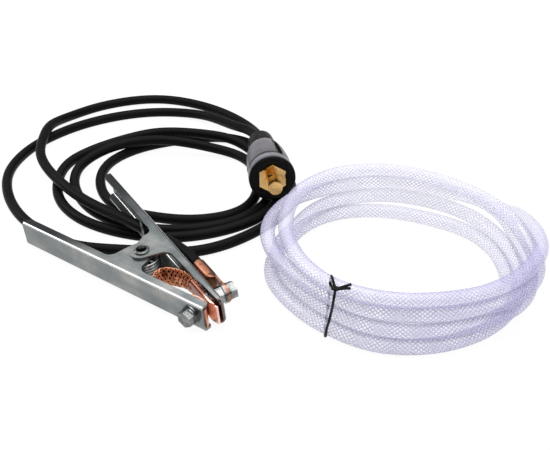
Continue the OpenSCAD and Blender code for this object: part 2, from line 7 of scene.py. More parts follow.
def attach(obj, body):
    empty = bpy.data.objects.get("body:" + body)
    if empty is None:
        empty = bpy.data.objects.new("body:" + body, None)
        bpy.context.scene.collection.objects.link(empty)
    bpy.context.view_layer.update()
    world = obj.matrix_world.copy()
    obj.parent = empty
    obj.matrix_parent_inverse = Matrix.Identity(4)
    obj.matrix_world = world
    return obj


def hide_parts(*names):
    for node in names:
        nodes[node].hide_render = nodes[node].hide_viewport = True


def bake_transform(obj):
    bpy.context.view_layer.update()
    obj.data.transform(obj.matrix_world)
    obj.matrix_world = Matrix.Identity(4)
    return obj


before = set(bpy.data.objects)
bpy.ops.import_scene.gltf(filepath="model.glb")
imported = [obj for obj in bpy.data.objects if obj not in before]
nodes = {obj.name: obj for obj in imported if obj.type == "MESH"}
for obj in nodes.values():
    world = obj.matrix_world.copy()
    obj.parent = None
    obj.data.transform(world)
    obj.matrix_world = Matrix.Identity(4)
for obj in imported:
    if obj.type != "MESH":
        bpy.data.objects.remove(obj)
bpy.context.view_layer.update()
mm = 0.001

# camera

camera = {"place": (0.5201, -0.6562, 0.487), "heading": (-0.643, 0.766), "pitchDown": 28.5, "lens": 72.0,
          "sensor": 36.0, "clip": (0.05, 30.0)}


def aimCamera(c):
    data = bpy.data.cameras.new("camera")
    data.lens = c["lens"]
    data.sensor_width = c["sensor"]
    data.clip_start, data.clip_end = c["clip"]
    eye = bpy.data.objects.new("camera", data)
    bpy.context.scene.collection.objects.link(eye)
    pitch = math.radians(c["pitchDown"])
    flat = Vector((*c["heading"], 0)).normalized() * math.cos(pitch)
    ahead = flat + Vector((0, 0, -math.sin(pitch)))
    eye.location = c["place"]
    eye.rotation_euler = ahead.to_track_quat("-Z", "Y").to_euler()
    bpy.context.scene.camera = eye


aimCamera(camera)
print("camera set")

# frames of the clamp and plug, in metres

clamp = {"place": (0.015, -0.14, 0.0), "tilt": 9.0, "pivot": (-0.0925, 0.027, 0.0), "shut": 20.7}
plug = {"front": (-0.0729, 0.0468, 0.0363), "rise": 4.5, "azimuth": -43.0, "length": 0.104}

clampFrame = Matrix.Translation(clamp["place"]) @ Matrix.Rotation(math.radians(clamp["tilt"]), 4, "X")
nearFrame = clampFrame @ Matrix.Translation(clamp["pivot"])
farFrame = nearFrame @ Matrix.Rotation(math.radians(-clamp["shut"]), 4, "Z") @ Matrix.Scale(-1, 4, (0, 1, 0))
plugFrame = (Matrix.Translation(plug["front"]) @ Matrix.Rotation(math.radians(plug["azimuth"]), 4, "Z")
             @ Matrix.Rotation(math.radians(90 - plug["rise"]), 4, "Y")
             @ Matrix.Translation((0, 0, -plug["length"])))

# shader maths


class Field:
    def __init__(self, finish, socket):
        self.finish, self.socket = finish, socket

    def maths(self, operation, *values):
        return self.finish.maths(operation, *values)

    def __add__(self, other):
        return self.maths("ADD", self, other)

    def __radd__(self, other):
        return self.maths("ADD", other, self)

    def __sub__(self, other):
        return self.maths("SUBTRACT", self, other)

    def __rsub__(self, other):
        return self.maths("SUBTRACT", other, self)

    def __mul__(self, other):
        return self.maths("MULTIPLY", self, other)

    def __rmul__(self, other):
        return self.maths("MULTIPLY", other, self)

    def __truediv__(self, other):
        return self.maths("DIVIDE", self, other)

    def __pow__(self, other):
        return self.maths("POWER", self, other)

    def size(self):
        return self.maths("ABSOLUTE", self)

    def fraction(self):
        return self.maths("FRACT", self)

    def most(self, other):
        return self.maths("MAXIMUM", self, other)

    def band(self, low, high):  # 0 below low, 1 above high
        return self.finish.node("ShaderNodeMapRange", {"interpolation_type": "SMOOTHSTEP"},
                                {"Value": self, "From Min": low, "From Max": high})


class Finish:
    def __init__(self, name, color, roughness, **more):
        self.material = bpy.data.materials.new(name)
        self.material.use_nodes = True
        self.tree = self.material.node_tree
        self.surface = self.tree.nodes["Principled BSDF"]
        self.surface.inputs["Base Color"].default_value = (*color, 1)
        self.surface.inputs["Roughness"].default_value = roughness
        for key, value in more.items():
            self.surface.inputs[key.replace("_", " ")].default_value = value

    def node(self, kind, settings=None, sockets=None, out=0):
        made = self.tree.nodes.new(kind)
        for key, value in (settings or {}).items():
            if key == "stops":
                ramp = made.color_ramp
                while len(ramp.elements) < len(value):
                    ramp.elements.new(0.5)
                for stop, (position, color) in zip(ramp.elements, value):
                    stop.position, stop.color = position, (*color, 1)
            else:
                setattr(made, key, value)
        for key, value in (sockets or {}).items():
            self.join(made.inputs[key], value)
        return Field(self, made.outputs[out])

    def maths(self, operation, *values):
        return self.node("ShaderNodeMath", {"operation": operation}, dict(enumerate(values)))

    def join(self, socket, value):
        if isinstance(value, Field):
            self.tree.links.new(value.socket, socket)
        else:
            socket.default_value = value

    def feed(self, name, value):
        self.join(self.surface.inputs[name], value)
        return self

    def place(self, stretch):
        where = self.node("ShaderNodeTexCoord", out="Object")
        return self.node("ShaderNodeMapping", {}, {"Vector": where, "Scale": stretch})

    def grain(self, scale, detail=3.0, rough=0.55, at=None):
        where = at or self.node("ShaderNodeTexCoord", out="Object")
        return self.node("ShaderNodeTexNoise", {}, {"Vector": where, "Scale": scale, "Detail": detail,
                                                    "Roughness": rough})

    def reach(self, axis, origin=(0, 0, 0)):  # metres past a point along an axis
        where = self.node("ShaderNodeTexCoord", out="Object")
        made = self.node("ShaderNodeVectorMath", {"operation": "DOT_PRODUCT"}, {0: where, 1: tuple(axis)}, "Value")
        return made - Vector(axis).dot(Vector(origin))

    def facing(self):  # how far the surface looks up
        split = self.tree.nodes.new("ShaderNodeSeparateXYZ")
        self.join(split.inputs[0], self.node("ShaderNodeTexCoord", out="Normal"))
        return Field(self, split.outputs[2])

    def wrap(self):  # along the piece in metres, and round it in turns
        pair = self.node("ShaderNodeUVMap", {"uv_map": "wrap"})
        split = self.tree.nodes.new("ShaderNodeSeparateXYZ")
        self.tree.links.new(pair.socket, split.inputs[0])
        return Field(self, split.outputs[0]), Field(self, split.outputs[1])

    def stain(self, value, stops):
        return self.node("ShaderNodeValToRGB", {"stops": stops}, {"Fac": value})

    def blendColors(self, factor, a, b):
        made = self.tree.nodes.new("ShaderNodeMix")
        made.data_type = "RGBA"
        self.join(made.inputs["Factor"], factor)
        self.join(made.inputs[6], a if isinstance(a, Field) else (*a, 1))
        self.join(made.inputs[7], b if isinstance(b, Field) else (*b, 1))
        return Field(self, made.outputs[2])

    def bump(self, height, distance, strength=1.0):
        made = self.node("ShaderNodeBump", {}, {"Height": height, "Distance": distance, "Strength": strength})
        return self.feed("Normal", made)


# finishes


# the bend colour is a painted highlight and the dark handle colour a painted dark reflection
zincLook = {"stains": [(0.34, (0.14, 0.16, 0.165)), (0.5, (0.215, 0.23, 0.23)), (0.64, (0.34, 0.34, 0.325))],
            "bendHighlight": (0.95, 0.95, 0.93), "handle": (0.02, 0.022, 0.025), "handleEnds": (-0.17, -0.08)}


def makeZinc(look):  # painted highlight along the bends, painted dark reflection on the top faces toward the rear
    f = Finish("zincPlate", (0.5, 0.51, 0.51), 0.34, Metallic=1.0)
    cloud = f.grain(30.0, 4.0, 0.6)
    rolled = f.grain(70.0, 3.0, 0.6, f.place((0.12, 1, 1)))
    speck = f.grain(900.0, 2.0, 0.7)
    mixed = cloud * 0.6 + rolled * 0.4
    tint = f.stain(mixed, look["stains"])
    up = f.facing().band(0.8, 0.95)
    # painted dark reflection on the upward faces toward the rear
    handle = up * (1.0 - f.reach((1, 0, 0)).band(*look["handleEnds"]))
    # painted highlight on faces turned between up and sideways, along the bends
    bendHighlight = f.facing().band(0.2, 0.45) * (1.0 - up)
    tint = f.blendColors(bendHighlight, tint, look["bendHighlight"])
    f.feed("Base Color", f.blendColors(handle * 0.93, tint, look["handle"]))
    f.feed("Roughness", mixed * 0.3 + 0.1 + speck * 0.1)
    return f.bump(rolled * 0.7 + speck * 0.3, 0.00006, 0.5).material


def makeBoltSteel(name, dark, light):
    f = Finish(name, (0.56, 0.56, 0.55), 0.3, Metallic=1.0)
    cloud = f.grain(120.0, 3.0, 0.6)
    f.feed("Base Color", f.stain(cloud, [(0.36, dark), (0.6, light)]))
    f.feed("Roughness", cloud * 0.25 + 0.1)
    return f.bump(cloud, 0.00003, 0.4).material


def makeSpringSteel():
    f = Finish("springSteel", (0.3, 0.3, 0.3), 0.38, Metallic=1.0)
    cloud = f.grain(240.0, 3.0, 0.6)
    f.feed("Base Color", f.stain(cloud, [(0.3, (0.2, 0.2, 0.2)), (0.7, (0.42, 0.42, 0.41))]))
    return f.feed("Roughness", cloud * 0.3 + 0.22).material


def makeCopper(name, light, dark, shine):
    f = Finish(name, light, shine, Metallic=1.0)
    cloud = f.grain(140.0, 4.0, 0.65)
    fine = f.grain(900.0, 2.0, 0.6, f.place((0.3, 1, 1)))
    f.feed("Base Color", f.stain(cloud, [(0.32, dark), (0.55, light)]))
    f.feed("Roughness", cloud * 0.22 + shine - 0.1)
    return f.bump(fine, 0.00004, 0.6).material


jawTip = {"end": 99, "contact": -16, "rear": 20.0, "fade": 11.0,  # along and across the far arm, in millimetres
          "bend": 8.5, "slope": 0.33, "skin": (-2.2, -1.6),
          "stains": [(0.32, (0.72, 0.42, 0.33)), (0.55, (0.94, 0.64, 0.54))],
          # the behind and inside colours are painted shade
          "behind": (0.24, 0.06, 0.03), "inside": (0.1, 0.065, 0.06)}


def makeJawCopper(t):  # light on the contact side at the tip, painted shade inside and behind
    f = Finish("jawCopper", (0.8, 0.48, 0.38), 0.34, Metallic=1.0)
    cloud = f.grain(140.0, 4.0, 0.65)
    tip = farFrame @ Vector((t["end"] * mm, t["contact"] * mm, 0))
    ahead, across = farFrame.col[0][:3], farFrame.col[1][:3]
    light = f.stain(cloud, t["stains"])
    behind = 1.0 - f.reach(ahead, tip).band(-t["rear"] * mm, -t["fade"] * mm)
    bent = (f.reach(ahead, tip) + t["bend"] * mm).most(0.0) * t["slope"]
    inside = 1.0 - (f.reach(across, tip) + bent).band(*(edge * mm for edge in t["skin"]))
    # painted shade behind the tip and on the pad away from its contact edge
    shade = f.blendColors(behind * 0.9, light, t["behind"])
    f.feed("Base Color", f.blendColors(inside * 0.9, shade, t["inside"]))
    f.feed("Roughness", cloud * 0.22 + 0.24)
    return f.material


def makeBrass():
    f = Finish("brass", (0.72, 0.42, 0.14), 0.2, Metallic=1.0)
    cloud = f.grain(60.0, 3.0, 0.6)
    turned = f.grain(1400.0, 1.0, 0.5, f.place((1, 1, 0.15)))
    f.feed("Base Color", f.stain(cloud, [(0.36, (0.84, 0.53, 0.17)), (0.6, (0.93, 0.61, 0.22))]))
    f.feed("Roughness", cloud * 0.16 + 0.08)
    return f.bump(turned, 0.00004, 0.5).material


def plugReach(f, axis):  # metres from the plug's rear along one of its own axes
    return f.reach(plugFrame.col[axis][:3], plugFrame.translation)


def makeRubber(name, color, shine, coarse=700.0, depth=0.00005, gloss=0.22, rings=None, rear=None, slots=None):
    f = Finish(name, color, shine, Specular_IOR_Level=gloss)
    skin = f.grain(coarse, 3.0, 0.6)
    cloud = f.grain(60.0, 4.0, 0.7)
    lighter = tuple(c * 1.6 + 0.002 for c in color)
    shade = f.blendColors(cloud.band(0.3, 0.7), color, lighter)
    if rings:  # painted shade in grooves round the plug: dark lines, each a share of the pitch wide
        past = plugReach(f, 2) - rings["first"]
        edge = rings["share"] * 0.3, rings["share"] * 0.6
        groove = 1.0 - ((past / rings["pitch"]).fraction() - 0.5).size().band(*edge)
        shade = f.blendColors(groove, shade, tuple(c * 0.12 for c in color))
        skin = skin * 0.4 - groove * 1.4
    if slots:  # painted shade in three slots: first turn and half width in degrees, and where they start and stop
        turn = f.maths("ARCTAN2", plugReach(f, 1), plugReach(f, 0)) * (180 / math.pi)
        away = (((turn - slots["turn"]) / 120.0 + 0.5).fraction() - 0.5).size() * 120.0
        past = plugReach(f, 2)
        inside = (1.0 - away.band(slots["half"] - 0.8, slots["half"])) * past.band(
            slots["start"], slots["start"] + mm) * (1.0 - past.band(slots["stop"] - mm, slots["stop"]))
        shade = f.blendColors(inside, shade, (0.002, 0.002, 0.002))
    if rear:  # another shade on the side behind a place along the plug
        behind = plugReach(f, 2) - rear["end"]
        shade = f.blendColors(behind.band(-0.0004, 0.0004), rear["color"], shade)
    f.feed("Base Color", shade)
    f.feed("Roughness", cloud * 0.18 + shine - 0.09)
    return f.bump(skin, depth, 0.7).material


def makeCableSheath():
    f = Finish("cableSheath", (0.003, 0.0028, 0.003), 0.45, Specular_IOR_Level=0.05)
    cloud = f.grain(24.0, 3.0, 0.6)
    skin = f.grain(900.0, 2.0, 0.6)
    f.feed("Base Color", f.blendColors(cloud.band(0.35, 0.75), (0.003, 0.0027, 0.0029), (0.005, 0.0044, 0.0047)))
    f.feed("Roughness", cloud * 0.2 + 0.34)
    return f.bump(skin, 0.00003, 0.4).material


hoseWeave = {"threads": 12.0, "pitch": 0.0042, "thread": 0.24, "clear": 0.26, "rim": 0.7, "thick": 0.8,
             "pale": (0.98, 0.975, 1.0), "deep": (0.44, 0.415, 0.64), "threadColor": (0.4, 0.38, 0.55),
             "right": (0.06, 0.2), "back": (0.05, 0.12)}


def makeClearHose(w):
    f = Finish("clearHose", (0.88, 0.87, 0.96), 0.2, Coat_Weight=0.4, Coat_Roughness=0.12)
    along, around = f.wrap()
    one = ((along / w["pitch"] + around * w["threads"]).fraction() - 0.5).size() * 2.0
    two = ((along / w["pitch"] - around * w["threads"]).fraction() - 0.5).size() * 2.0
    edge = w["thread"] * 0.5, w["thread"] * 1.6
    threads = (1.0 - one.band(*edge)).most(1.0 - two.band(*edge))
    rim = f.node("ShaderNodeLayerWeight", {}, {"Blend": 0.5}, out=1) ** 2.0
    cloud = f.grain(9.0, 2.0, 0.5)
    back = f.reach((0, 1, 0)).band(*w["back"])
    stackedTintAndShade = f.reach((1, 0, 0)).band(*w["right"]) * 0.6 - back * 0.6  # deeper towards the right where turns lie over each other, partly the tint of stacked walls and partly painted shade; paler towards the back
    wall = f.blendColors((rim * 1.2 + cloud * 0.4 + stackedTintAndShade - 0.15).band(0.0, 1.0), w["pale"], w["deep"])
    f.feed("Base Color", f.blendColors(threads, wall, w["threadColor"]))
    solid = (threads * (w["thick"] - w["clear"]) + w["clear"]).most(rim * w["rim"])
    f.feed("Alpha", solid * (1.0 - back * 0.3))
    f.feed("Roughness", threads * 0.3 + 0.12)
    return f.bump(threads, 0.00012, 0.35).material


zinc = makeZinc(zincLook)
# one steel in two copies: the lighter copy for the far bolt, washers and nuts is painted light
boltSteel = makeBoltSteel("boltSteel", (0.08, 0.085, 0.09), (0.24, 0.24, 0.235))
farSteelLit = makeBoltSteel("farSteelLit", (0.11, 0.115, 0.12), (0.32, 0.32, 0.31))
springSteel = makeSpringSteel()
copperSheet = makeCopper("copperSheet", (0.78, 0.45, 0.34), (0.55, 0.26, 0.17), 0.36)
jawCopper = makeJawCopper(jawTip)
copperWire = makeCopper("copperWire", (0.7, 0.3, 0.16), (0.22, 0.07, 0.03), 0.24)
# a dark copper colour for the sheet inside the braid: painted shade
braidShadeSheet = makeCopper("braidShadeSheet", (0.09, 0.03, 0.015), (0.03, 0.01, 0.006), 0.5)
copperLug = makeCopper("copperLug", (0.38, 0.16, 0.095), (0.12, 0.05, 0.03), 0.3)
brass = makeBrass()
bootRubber = makeRubber("bootRubber", (0.01, 0.0095, 0.0098), 0.4, depth=0.0005, gloss=0.15,
                        rings={"pitch": 0.0042, "first": 0.0, "share": 0.7})
gripPlastic = makeRubber("gripPlastic", (0.085, 0.079, 0.087), 0.4, coarse=500.0, depth=0.0004, gloss=0.4,
                         rings={"pitch": 0.6, "first": 0.3865, "share": 0.008},
                         slots={"turn": 32.0, "half": 10.0, "start": 0.042, "stop": 0.086})
collarGrey = (0.12, 0.117, 0.13)
collarPlastic = makeRubber("collarPlastic", collarGrey, 0.3, gloss=0.5)
nosePlastic = makeRubber("nosePlastic", (0.0025, 0.0025, 0.0025), 0.3, gloss=0.08,
                         rear={"end": 0.1015, "color": collarGrey})
tieBlack = makeRubber("tieBlack", (0.003, 0.003, 0.003), 0.4, gloss=0.1)
cableSheath = makeCableSheath()
clearHose = makeClearHose(hoseWeave)
print("finishes made")

# shared shaping


def smoothLine(points, steps):  # a curve through every point
    line = []
    ends = [points[0] * 2 - points[1]] + list(points) + [points[-1] * 2 - points[-2]]
    for i in range(1, len(ends) - 2):
        a, b, c, d = ends[i - 1:i + 3]
        for k in range(steps):
            t = k / steps
            line.append(0.5 * (2 * b + (c - a) * t + (2 * a - 5 * b + 4 * c - d) * t * t
                               + (3 * b - a - 3 * c + d) * t ** 3))
    return line + [points[-1]]


def settle(line, gap, passes):  # even steps, then each point eased towards its neighbours
    even, left = [line[0]], gap
    for a, b in zip(line, line[1:]):
        reach = (b - a).length
        while left <= reach:
            even.append(a.lerp(b, left / reach))
            left += gap
        left -= reach
    line = even + [line[-1]]
    for _ in range(passes):
        line = [line[0]] + [(a + b * 2 + c) / 4 for a, b, c in zip(line, line[1:], line[2:])] + [line[-1]]
    return line


def lengthOf(line):
    return sum((b - a).length for a, b in zip(line, line[1:]))


def addTube(bm, line, radius, sides, shape=(1, 1), part=None):  # part: first and last step that get faces
    uv = bm.loops.layers.uv.verify()
    first, last = part or (0, len(line) - 1)
    count = len(line)
    wide, high = shape
    rings, run, up = [], [], Vector((0, 0, 1))
    length = 0.0
    for i, p in enumerate(line):
        before, after = line[max(i - 1, 0)], line[min(i + 1, count - 1)]
        ahead = (after - before).normalized()
        if i == 0 and abs(ahead.dot(up)) > 0.97:  # a line that starts straight up
            up = Vector((1, 0, 0))
        side = ahead.cross(up).normalized()
        up = side.cross(ahead).normalized()
        length += (p - line[i - 1]).length if i else 0.0
        if not first <= i <= last:
            continue
        rings.append([bm.verts.new(p + radius * (math.cos(a) * wide * side + math.sin(a) * high * up))
                      for a in (2 * math.pi * k / sides for k in range(sides))])
        run.append(length)
    for i in range(len(rings) - 1):
        for k in range(sides):
            n = (k + 1) % sides
            face = bm.faces.new((rings[i][k], rings[i][n], rings[i + 1][n], rings[i + 1][k]))
            face.smooth = True
            for loop, (u, v) in zip(face.loops, ((run[i], k), (run[i], k + 1), (run[i + 1], k + 1), (run[i + 1], k))):
                loop[uv].uv = (u, v / sides)
    for ring, turn, capped in ((rings[0], -1, first == 0), (rings[-1], 1, last == count - 1)):
        if capped:
            bm.faces.new(ring[::turn])


def finishPiece(name, bm, finish, body):
    mesh = bpy.data.meshes.new(name)
    bmesh.ops.recalc_face_normals(bm, faces=bm.faces)
    bm.to_mesh(mesh)
    bm.free()
    if mesh.uv_layers:
        mesh.uv_layers[0].name = "wrap"
    mesh.materials.append(finish)
    piece = bpy.data.objects.new(name, mesh)
    bpy.context.scene.collection.objects.link(piece)
    if body:
        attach(piece, body)
    return piece


# cable: its route runs from the plug to the lug

cableRoute = [
    (-0.146, 0.115, 0.0283), (-0.165, 0.13, 0.0255), (-0.189, 0.145, 0.021), (-0.215, 0.151, 0.016),
    (-0.244, 0.161, 0.011), (-0.273, 0.167, 0.0075), (-0.297, 0.162, 0.0055), (-0.32, 0.148, 0.005),
    (-0.339, 0.127, 0.005), (-0.355, 0.095, 0.005), (-0.363, 0.062, 0.005), (-0.364, 0.03, 0.005),
    (-0.359, -0.004, 0.005), (-0.346, -0.036, 0.005), (-0.328, -0.063, 0.005), (-0.302, -0.086, 0.005),
    (-0.27, -0.105, 0.005), (-0.235, -0.118, 0.005), (-0.198, -0.123, 0.005), (-0.16, -0.12, 0.005),
    (-0.128, -0.101, 0.005), (-0.103, -0.084, 0.005), (-0.076, -0.064, 0.005), (-0.061, -0.034, 0.005),
    (-0.056, 0, 0.005), (-0.057, 0.034, 0.005), (-0.065, 0.064, 0.005), (-0.083, 0.089, 0.005),
    (-0.106, 0.11, 0.005), (-0.134, 0.128, 0.005), (-0.164, 0.141, 0.005), (-0.196, 0.147, 0.005),
    (-0.222, 0.139, 0.005), (-0.24, 0.12, 0.005), (-0.254, 0.099, 0.005), (-0.266, 0.074, 0.005),
    (-0.271, 0.046, 0.005), (-0.267, 0.017, 0.005), (-0.252, -0.008, 0.005), (-0.23, -0.028, 0.005),
    (-0.203, -0.042, 0.005), (-0.174, -0.045, 0.005), (-0.145, -0.036, 0.005), (-0.119, -0.022, 0.005),
    (-0.1, 0, 0.005), (-0.092, 0.025, 0.005), (-0.099, 0.051, 0.005), (-0.113, 0.072, 0.005),
    (-0.132, 0.092, 0.005), (-0.155, 0.11, 0.005), (-0.181, 0.116, 0.0055), (-0.207, 0.105, 0.009),
    (-0.231, 0.088, 0.0145), (-0.253, 0.072, 0.016), (-0.267, 0.052, 0.0165), (-0.278, 0.029, 0.015),
    (-0.283, 0.011, 0.011), (-0.283, -0.005, 0.008), (-0.275, -0.021, 0.006), (-0.258, -0.038, 0.005),
    (-0.236, -0.052, 0.005), (-0.206, -0.064, 0.005), (-0.174, -0.067, 0.005), (-0.143, -0.06, 0.005),
    (-0.115, -0.044, 0.005), (-0.094, -0.02, 0.0055), (-0.081, 0.008, 0.006), (-0.08, 0.034, 0.0065),
    (-0.088, 0.06, 0.006), (-0.106, 0.08, 0.005), (-0.126, 0.102, 0.005), (-0.149, 0.122, 0.005),
    (-0.174, 0.13, 0.008), (-0.2, 0.13, 0.013), (-0.227, 0.115, 0.0155), (-0.252, 0.101, 0.0155),
    (-0.27, 0.084, 0.0155), (-0.28, 0.061, 0.0145), (-0.29, 0.04, 0.012), (-0.298, 0.02, 0.0085),
    (-0.301, 0, 0.006), (-0.294, -0.02, 0.005), (-0.276, -0.043, 0.005), (-0.252, -0.064, 0.005),
    (-0.224, -0.078, 0.005), (-0.193, -0.084, 0.005), (-0.162, -0.081, 0.005), (-0.132, -0.071, 0.005),
    (-0.106, -0.054, 0.005), (-0.086, -0.028, 0.005), (-0.07, 0.002, 0.0075), (-0.067, 0.034, 0.009),
    (-0.078, 0.066, 0.009), (-0.1, 0.09, 0.0085), (-0.124, 0.112, 0.0125), (-0.15, 0.13, 0.0165),
    (-0.178, 0.149, 0.0155), (-0.205, 0.169, 0.009), (-0.233, 0.183, 0.0055), (-0.265, 0.19, 0.005),
    (-0.298, 0.19, 0.005), (-0.331, 0.183, 0.005), (-0.357, 0.168, 0.005), (-0.376, 0.142, 0.005),
    (-0.388, 0.11, 0.005), (-0.389, 0.077, 0.006), (-0.381, 0.048, 0.0105), (-0.367, 0.022, 0.016),
    (-0.346, -0.003, 0.016), (-0.322, -0.027, 0.0155), (-0.29, -0.045, 0.0155), (-0.256, -0.057, 0.0155),
    (-0.222, -0.066, 0.0155), (-0.187, -0.07, 0.0155), (-0.16, -0.074, 0.019), (-0.136, -0.079, 0.0225),
    (-0.107, -0.082, 0.0235), (-0.078, -0.083, 0.023), (-0.053, -0.088, 0.0237), (-0.034, -0.0951, 0.0226)]
cable = {"diameter": 0.010, "steps": 8, "gap": 0.004, "ease": 20, "sides": 20, "mouth": 0.0008,
         "split": (-0.222, -0.066, 0.0155)}


def makeCable(c):
    points = [Vector(p) for p in cableRoute]
    mouth = points[-1] + (points[-1] - points[-2]).normalized() * c["mouth"]
    line = settle(smoothLine(points[:-1] + [mouth], c["steps"]), c["gap"], c["ease"])
    cut = min(range(len(line)), key=lambda i: (line[i] - Vector(c["split"])).length)
    bm = bmesh.new()
    addTube(bm, line, c["diameter"] / 2, c["sides"], part=(0, cut))
    main = finishPiece("cable", bm, cableSheath, "set")
    bm = bmesh.new()
    addTube(bm, line, c["diameter"] / 2, c["sides"], part=(cut, len(line) - 1))
    tail = finishPiece("cableEnd", bm, cableSheath, None)
    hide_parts("ground_cable")
    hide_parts("ground_cable")
    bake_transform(tail)
    tailPath, mainPath = line[cut:][::-1], line[:cut + 1][::-1]
    lengthOf(tailPath)
    lengthOf(mainPath)


makeCable(cable)
print("cable laid")

# clear hose: four loose turns, from the end on the floor up

hoseRoute = [
    (0.16, 0.077, 0.0065), (0.146, 0.094, 0.0065), (0.128, 0.11, 0.0065), (0.107, 0.121, 0.0065),
    (0.084, 0.126, 0.0065), (0.053, 0.123, 0.0065), (0.025, 0.115, 0.0065), (0.008, 0.107, 0.0065),
    (-0.013, 0.088, 0.0065), (-0.023, 0.07, 0.0065), (-0.028, 0.047, 0.0065), (-0.025, 0.022, 0.0065),
    (-0.018, -0.008, 0.0065), (-0.009, -0.03, 0.0065), (0.002, -0.045, 0.0065), (0.018, -0.058, 0.0065),
    (0.044, -0.07, 0.0065), (0.071, -0.078, 0.0065), (0.092, -0.08, 0.0065), (0.121, -0.079, 0.0065),
    (0.136, -0.074, 0.0065), (0.155, -0.062, 0.0065), (0.171, -0.044, 0.0065), (0.183, -0.02, 0.0065),
    (0.189, 0.001, 0.0075), (0.19, 0.024, 0.0095), (0.184, 0.05, 0.0095), (0.175, 0.07, 0.0125),
    (0.162, 0.088, 0.015), (0.147, 0.102, 0.017), (0.13, 0.114, 0.0185), (0.11, 0.124, 0.019),
    (0.089, 0.132, 0.019), (0.067, 0.134, 0.019), (0.046, 0.132, 0.019), (0.019, 0.123, 0.019),
    (0.003, 0.113, 0.019), (-0.015, 0.091, 0.019), (-0.024, 0.071, 0.019), (-0.026, 0.051, 0.019),
    (-0.022, 0.029, 0.019), (-0.016, 0.006, 0.019), (-0.012, -0.014, 0.019), (-0.004, -0.03, 0.019),
    (0.009, -0.045, 0.019), (0.028, -0.057, 0.019), (0.047, -0.065, 0.019), (0.071, -0.072, 0.019),
    (0.089, -0.076, 0.019), (0.119, -0.077, 0.019), (0.134, -0.072, 0.019), (0.154, -0.061, 0.019),
    (0.17, -0.045, 0.019), (0.184, -0.025, 0.019), (0.192, -0.008, 0.019), (0.197, 0.013, 0.0195),
    (0.199, 0.029, 0.02), (0.197, 0.043, 0.022), (0.19, 0.059, 0.023), (0.18, 0.075, 0.024),
    (0.168, 0.089, 0.0255), (0.158, 0.098, 0.027), (0.148, 0.108, 0.0285), (0.136, 0.12, 0.03),
    (0.123, 0.129, 0.032), (0.111, 0.136, 0.032), (0.092, 0.143, 0.032), (0.082, 0.142, 0.032),
    (0.064, 0.137, 0.032), (0.044, 0.134, 0.032), (0.017, 0.124, 0.032), (0.002, 0.114, 0.032),
    (-0.017, 0.092, 0.032), (-0.026, 0.073, 0.032), (-0.034, 0.053, 0.032), (-0.038, 0.039, 0.032),
    (-0.037, 0.022, 0.0325), (-0.032, 0.002, 0.0325), (-0.024, -0.017, 0.0325), (-0.012, -0.033, 0.0325),
    (0.006, -0.049, 0.032), (0.022, -0.058, 0.032), (0.04, -0.066, 0.032), (0.061, -0.073, 0.032),
    (0.084, -0.076, 0.032), (0.108, -0.076, 0.032), (0.132, -0.07, 0.032), (0.151, -0.058, 0.032),
    (0.168, -0.043, 0.032), (0.182, -0.024, 0.032), (0.191, -0.009, 0.032), (0.198, 0.008, 0.032),
    (0.201, 0.028, 0.0325), (0.199, 0.046, 0.0325), (0.194, 0.062, 0.033), (0.182, 0.08, 0.034),
    (0.167, 0.094, 0.0355), (0.152, 0.106, 0.038), (0.138, 0.114, 0.041), (0.122, 0.119, 0.0435),
    (0.101, 0.125, 0.045), (0.089, 0.127, 0.045), (0.068, 0.128, 0.045), (0.047, 0.128, 0.045),
    (0.019, 0.121, 0.045), (0.002, 0.112, 0.045), (-0.017, 0.092, 0.045), (-0.026, 0.073, 0.045),
    (-0.029, 0.047, 0.045), (-0.028, 0.031, 0.045), (-0.022, 0.015, 0.045), (-0.015, -0.001, 0.045),
    (0, -0.023, 0.045), (0.017, -0.042, 0.045), (0.036, -0.057, 0.045), (0.055, -0.068, 0.045),
    (0.073, -0.075, 0.045), (0.089, -0.079, 0.045), (0.109, -0.078, 0.045), (0.132, -0.071, 0.045),
    (0.151, -0.06, 0.045), (0.167, -0.044, 0.045), (0.182, -0.025, 0.045), (0.19, -0.009, 0.045),
    (0.195, 0.012, 0.045), (0.197, 0.032, 0.0455), (0.196, 0.051, 0.0465), (0.19, 0.072, 0.0475),
    (0.181, 0.085, 0.048), (0.167, 0.101, 0.046), (0.149, 0.119, 0.041), (0.129, 0.138, 0.032),
    (0.109, 0.155, 0.022), (0.091, 0.167, 0.014)]
hose = {"diameter": 0.0128, "steps": 8, "gap": 0.004, "ease": 16, "sides": 24}


def makeHose(h):
    line = settle(smoothLine([Vector(p) for p in hoseRoute], h["steps"]), h["gap"], h["ease"])
    bm = bmesh.new()
    addTube(bm, line, h["diameter"] / 2, h["sides"])
    piece = finishPiece("hose", bm, clearHose, "set")
    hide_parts("hose_coil")
    lengthOf(line)
    print("hose", round(lengthOf(line), 3), "m")


makeHose(hose)

# wire tie round the hose

tie = {"wide": 0.0011, "sides": 8, "steps": 5, "knot": (0.1048, -0.0918, 0.0532),
       "knotSize": (0.0021, 0.0017, 0.0005), "knotPoints": 16, "knotTurn": 0.7, "knotSteps": 3}
tieLines = [  # round the bundle, then its three tails, in millimetres
    [(105, -91.5, 53), (107, -95, 51), (106.6, -95.6, 45.5), (104.2, -93.4, 38), (101.2, -90.9, 30),
     (99.4, -90.2, 23.5), (97.2, -89.2, 16.5), (95, -88.2, 9.5), (93, -86.2, 2.6), (90, -83, 0.9),
     (84, -75, 1), (81, -70, 4), (82, -69, 20), (84, -70, 36), (86, -72, 47), (92, -78.5, 52),
     (99, -86, 53.4), (104.4, -91.2, 53.6)],
    [(105, -91.8, 53), (101.3, -91.6, 54), (100.1, -91.5, 55.5), (99.7, -91.2, 57)],
    [(105, -91.8, 53), (107.8, -89.6, 54.2), (111.2, -86.9, 55.8), (114, -83.8, 57)],
    [(105, -92, 53), (108.3, -90.2, 53.6), (111.3, -88.1, 54.2), (115, -86, 54.8)]]


